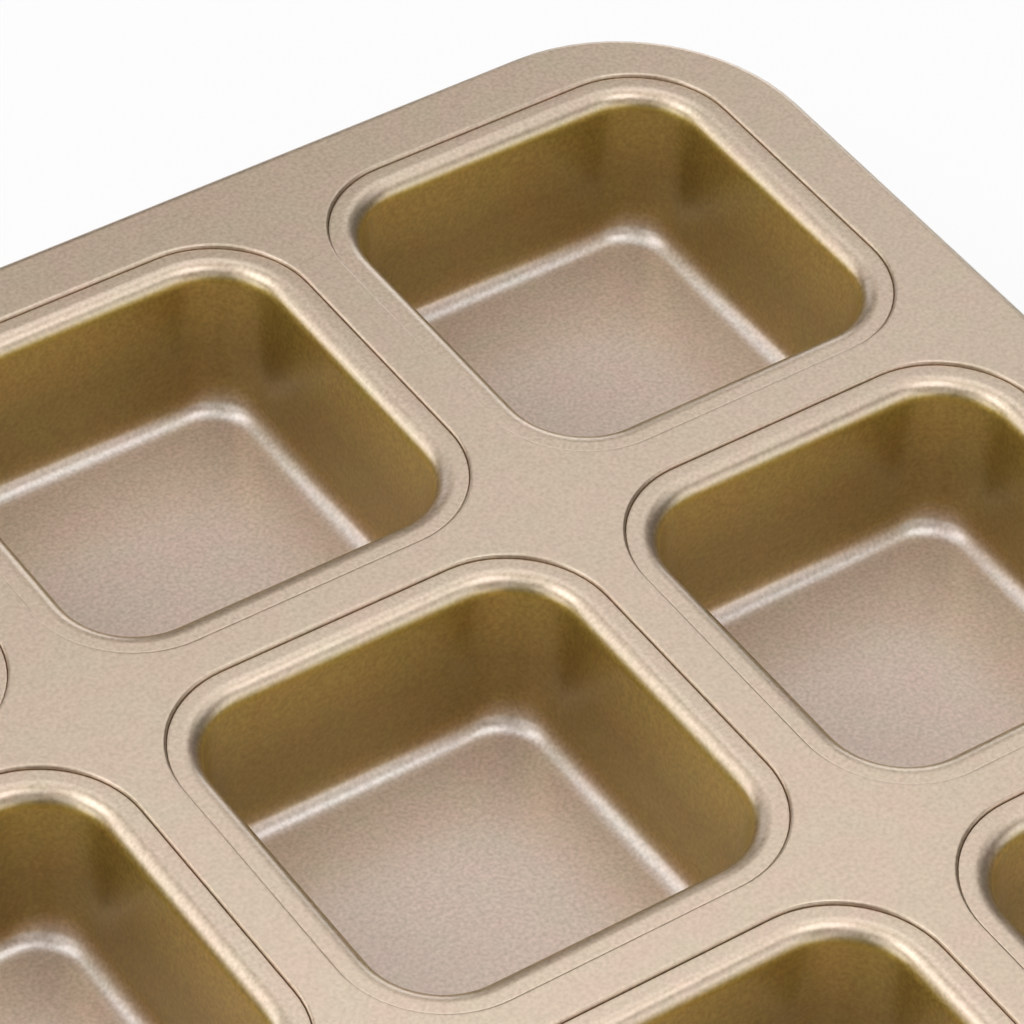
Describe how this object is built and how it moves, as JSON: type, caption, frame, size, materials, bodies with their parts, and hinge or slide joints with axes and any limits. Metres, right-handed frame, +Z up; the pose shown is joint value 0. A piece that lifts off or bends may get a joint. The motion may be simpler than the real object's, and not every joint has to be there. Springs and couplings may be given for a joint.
{
  "type": "mini loaf pan",
  "caption": "Baking pan with a grid of square mini loaf cups, each a separate drawn pressing locked into a flat plate with a rolled rim stiffened by a wire.",
  "frame": {"origin": "middle of the pan on the plane that the cups' floors stand on", "axes": "+Z up; +X along the long side, +Y along the short side"},
  "size_m": [0.3522, 0.2682, 0.03],
  "materials": {
    "coated_plate": "champagne-gold non-stick coating with a fine metallic grain on steel sheet",
    "coated_cup": "champagne-gold non-stick coating with a fine metallic grain on drawn steel",
    "steel_wire": "drawn steel wire"
  },
  "bodies": {
    "root": {"top_plate": "coated_plate", "rim_wire": "steel_wire", "cup_r1_c1": "coated_cup", "cup_r1_c2": "coated_cup", "cup_r1_c3": "coated_cup", "cup_r1_c4": "coated_cup", "cup_r2_c1": "coated_cup", "cup_r2_c2": "coated_cup", "cup_r2_c3": "coated_cup", "cup_r2_c4": "coated_cup", "cup_r3_c1": "coated_cup", "cup_r3_c2": "coated_cup", "cup_r3_c3": "coated_cup", "cup_r3_c4": "coated_cup"}
  },
  "joints": []
}
